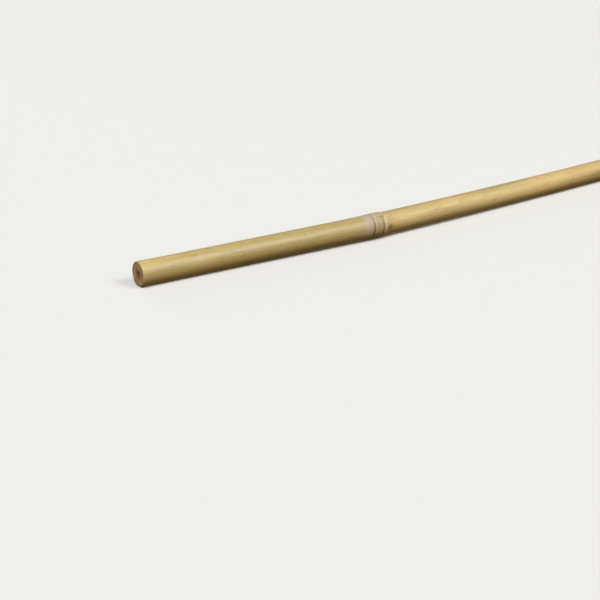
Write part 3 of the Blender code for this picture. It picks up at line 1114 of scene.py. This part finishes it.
def fibrous_material(name, grains_per_mm, detail, stops, roughness, relief=None):
    """A dull fibrous material. Its grains to the millimetre are given along and across the stem."""
    material, tree, shader = new_material(name, {"Roughness": roughness})
    place = add_node(tree, "ShaderNodeAttribute", attribute_name="stem_place").outputs["Vector"]
    along, across = grains_per_mm
    scale = (along, across, across)
    space = add_node(tree, "ShaderNodeVectorMath", {0: place, 1: scale}, operation="MULTIPLY")
    settings = {"Vector": space.outputs[0], "Scale": 1.0, "Detail": detail}
    fibres = add_node(tree, "ShaderNodeTexNoise", settings).outputs["Fac"]
    colour = add_node(tree, "ShaderNodeValToRGB", {0: fibres}, stops=stops)
    tree.links.new(colour.outputs["Color"], shader.inputs["Base Color"])
    if relief:
        bump = add_node(tree, "ShaderNodeBump", {"Height": fibres, **relief})
        tree.links.new(bump.outputs[0], shader.inputs["Normal"])
    return material


def pith_lining():
    """Papery brown lining of the hollow, its browns darkened as painted shade inside the hollow: dull, in
    streaks 3 mm long and 0.5 mm wide.
    """
    # painted shade: these browns are darkened to stand for the shade in the hollow
    stops = ((0.3, "5c4022"), (0.7, "8c6a3c"))
    return fibrous_material("pith_lining", (0.3, 2.0), 4.0, stops, 0.9)


def torn_fibre():
    """Torn bamboo fibre: dull, from pale straw to weathered brown, which changes from fibre to fibre."""
    stops = ((0.35, "7c5f3c"), (0.55, "b09468"), (0.7, "cbb48a"))
    return fibrous_material("torn_fibre", (0.9, 0.9), 2.0, stops, 0.85)


def bud_scale():
    """Papery scale of a dried bud: brown, dull, with fine paler veins along it, 0.25 mm wide."""
    stops = ((0.3, "6a5430"), (0.45, "a89160"), (0.66, "d2bd8c"))
    relief = {"Distance": 0.08 * MM, "Strength": 0.8}
    return fibrous_material("bud_scale", (0.35, 4.0), 3.0, stops, 0.8, relief)


class STAKE_OT_culm(bpy.types.Operator):
    """Build the culm: a turned outline with its nodes, pressed out of round and carried to the cane's line"""

    bl_idname = "stake.culm"
    bl_label = "Culm"

    def execute(self, context):
        stem = context.scene.stake_stem
        shape = bmesh.new()
        verts = [shape.verts.new((at, 0.0, radius)) for at, radius in culm_profile(stem)]
        for first, second in zip(verts, verts[1:]):
            shape.edges.new((first, second))
        bmesh.ops.spin(
            shape,
            geom=shape.verts[:] + shape.edges[:],
            axis=(1, 0, 0),
            cent=(0, 0, 0),
            angle=2 * math.pi,
            steps=stem.segments,
            use_merge=True,
        )
        bmesh.ops.remove_doubles(shape, verts=shape.verts[:], dist=0.001 * MM)
        bmesh.ops.recalc_face_normals(shape, faces=shape.faces[:])
        store_stem_places(shape, stem)
        store_culm_places(shape, stem)
        choose_culm_materials(shape, stem)
        raise_skin(shape, stem)
        rind = dried_bamboo_rind(stem, context.scene.stake_rind)
        sawn = sawn_bamboo(context.scene.stake_cut)
        culm = finish_piece("culm", shape, (rind, sawn, pith_lining()), stem)
        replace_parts(culm, CANE_NODE)
        return {"FINISHED"}


class STAKE_OT_branches(bpy.types.Operator):
    """Build what is left of the trimmed branches, and the flat bud of the first node"""

    bl_idname = "stake.branches"
    bl_label = "Branches"

    def execute(self, context):
        stem = context.scene.stake_stem
        skins = [bpy.data.materials.get(name) for name in STEM_MATERIALS]
        if None in skins:
            raise RuntimeError("Build the culm first: the branches share its materials")
        for index in range(1, len(stem.nodes)):
            shape = branch_peg(stem, index)
            store_stem_places(shape, stem)
            peg = finish_piece(f"branch_stub_{index + 1}", shape, skins, stem)
            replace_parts(peg, CANE_NODE)
        shape = flat_bud(stem, 0)
        store_stem_places(shape, stem)
        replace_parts(finish_piece("bud_1", shape, [bud_scale()], stem), CANE_NODE)
        return {"FINISHED"}


class STAKE_OT_fibres(bpy.types.Operator):
    """Set the torn fibres along the sheath scars and round the saw cuts"""

    bl_idname = "stake.fibres"
    bl_label = "Fibres"

    def execute(self, context):
        stem = context.scene.stake_stem
        cut = context.scene.stake_cut
        draw = random.Random(cut.seed)
        fibre = torn_fibre()
        for index in range(len(stem.nodes)):
            shape = scar_fibres(stem, index, cut.scar_fibres, draw)
            store_stem_places(shape, stem)
            finish_piece(f"scar_fibres_{index + 1}", shape, [fibre], stem)
        for end, name in enumerate(("butt_fibres", "tip_fibres")):
            shape = saw_fibres(stem, end, cut.fibres, draw)
            store_stem_places(shape, stem)
            finish_piece(name, shape, [fibre], stem)
        return {"FINISHED"}


class STAKE_OT_stage(bpy.types.Operator):
    """Lay the pale floor, hang the soft lights and place the camera"""

    bl_idname = "stake.stage"
    bl_label = "Stage"

    def execute(self, context):
        stage = context.scene.stake_stage
        self.floor(context.scene, stage)
        for name, width, towards in LIGHTS:
            self.soft_light(context.scene, name, getattr(stage, name), width, towards)
        self.world(context.scene, stage)
        self.camera(context.scene, stage)
        context.scene.view_settings.view_transform = "Standard"
        return {"FINISHED"}

    def floor(self, scene, stage):
        """Plain pale matt paper. It throws no light on the cane: the warm lower sky stands in for that."""
        shape = bmesh.new()
        bmesh.ops.create_grid(shape, x_segments=1, y_segments=1, size=stage.floor_width / 2)
        mesh = bpy.data.meshes.new("floor")
        shape.to_mesh(mesh)
        shape.free()
        floor = bpy.data.objects.new("floor", mesh)
        material, _, _ = new_material("matt_paper", {"Base Color": stage.floor_colour, "Roughness": 0.95})
        mesh.materials.append(material)
        scene.collection.objects.link(floor)
        floor.visible_diffuse = False
        floor.visible_glossy = False

    def soft_light(self, scene, name, strength, width, towards):
        """A light as even and as soft as a wide studio panel far away, that shines from one direction."""
        data = bpy.data.lights.new(name, "SUN")
        data.energy = strength
        data.angle = width
        light = bpy.data.objects.new(name, data)
        light.rotation_euler = Vector(towards).to_track_quat("Z", "Y").to_euler()
        scene.collection.objects.link(light)

    def world(self, scene, stage):
        """A pale studio wall for the eye. The cane is lit by a sky that turns warm below the horizon."""
        world = bpy.data.worlds.new("studio")
        world.use_nodes = True
        tree = world.node_tree
        tree.nodes.clear()
        seen = add_node(tree, "ShaderNodeBackground", {"Color": "e6e5e2", "Strength": 1.0})
        direction = add_node(tree, "ShaderNodeTexCoord").outputs["Generated"]
        height = add_node(tree, "ShaderNodeSeparateXYZ", {0: direction}).outputs["Z"]
        limits = {"From Min": -0.4, "From Max": 0.4}
        upwards = add_node(tree, "ShaderNodeMapRange", {"Value": height, **limits}).outputs[0]
        tints = {0: upwards, 6: stage.bounce_colour, 7: stage.sky_colour}
        tint = add_node(tree, "ShaderNodeMix", tints, data_type="RGBA").outputs[2]
        lighting = add_node(tree, "ShaderNodeBackground", {"Color": tint, "Strength": stage.sky})
        camera_ray = add_node(tree, "ShaderNodeLightPath").outputs["Is Camera Ray"]
        shaders = {0: camera_ray, 1: lighting.outputs[0], 2: seen.outputs[0]}
        mix = add_node(tree, "ShaderNodeMixShader", shaders)
        add_node(tree, "ShaderNodeOutputWorld", {"Surface": mix.outputs[0]})
        scene.world = world

    def camera(self, scene, stage):
        """The camera at the photograph's angle."""
        data = bpy.data.cameras.new("camera")
        data.lens = stage.lens
        data.sensor_width = 36.0
        data.clip_start = 0.01
        data.clip_end = 100.0
        camera = bpy.data.objects.new("camera", data)
        camera.location = stage.camera_place
        azimuth, elevation = stage.camera_azimuth, stage.camera_elevation
        level = math.cos(elevation)
        ahead = Vector((-math.sin(azimuth) * level, math.cos(azimuth) * level, -math.sin(elevation)))
        camera.rotation_euler = ahead.to_track_quat("-Z", "Y").to_euler()
        scene.collection.objects.link(camera)
        scene.camera = camera


class STAKE_PT_panel(bpy.types.Panel):
    """Sizes and colours of the stake, and its building steps"""

    bl_label = "Bamboo Stake"
    bl_space_type = "VIEW_3D"
    bl_region_type = "UI"
    bl_category = "Stake"

    def draw(self, context):
        for name in GROUPS:
            group = getattr(context.scene, name)
            box = self.layout.box()
            for key in group.__annotations__:
                box.prop(group, key)
        for operator in STEPS:
            self.layout.operator(operator.bl_idname)


GROUPS = {
    "stake_stem": StakeStem,
    "stake_rind": StakeRind,
    "stake_cut": StakeCut,
    "stake_stage": StakeStage,
}
STEPS = (STAKE_OT_culm, STAKE_OT_branches, STAKE_OT_fibres, STAKE_OT_stage)
CLASSES = (*GROUPS.values(), *STEPS, STAKE_PT_panel)


def register():
    for cls in CLASSES:
        bpy.utils.register_class(cls)
    for name, group in GROUPS.items():
        setattr(bpy.types.Scene, name, PointerProperty(type=group))


def unregister():
    for name in GROUPS:
        delattr(bpy.types.Scene, name)
    for cls in reversed(CLASSES):
        bpy.utils.unregister_class(cls)


def main():
    register()
    bpy.ops.stake.culm()
    bpy.ops.stake.branches()
    bpy.ops.stake.fibres()
    bpy.ops.stake.stage()
    bpy.context.view_layer.update()


if __name__ == "__main__":
    main()
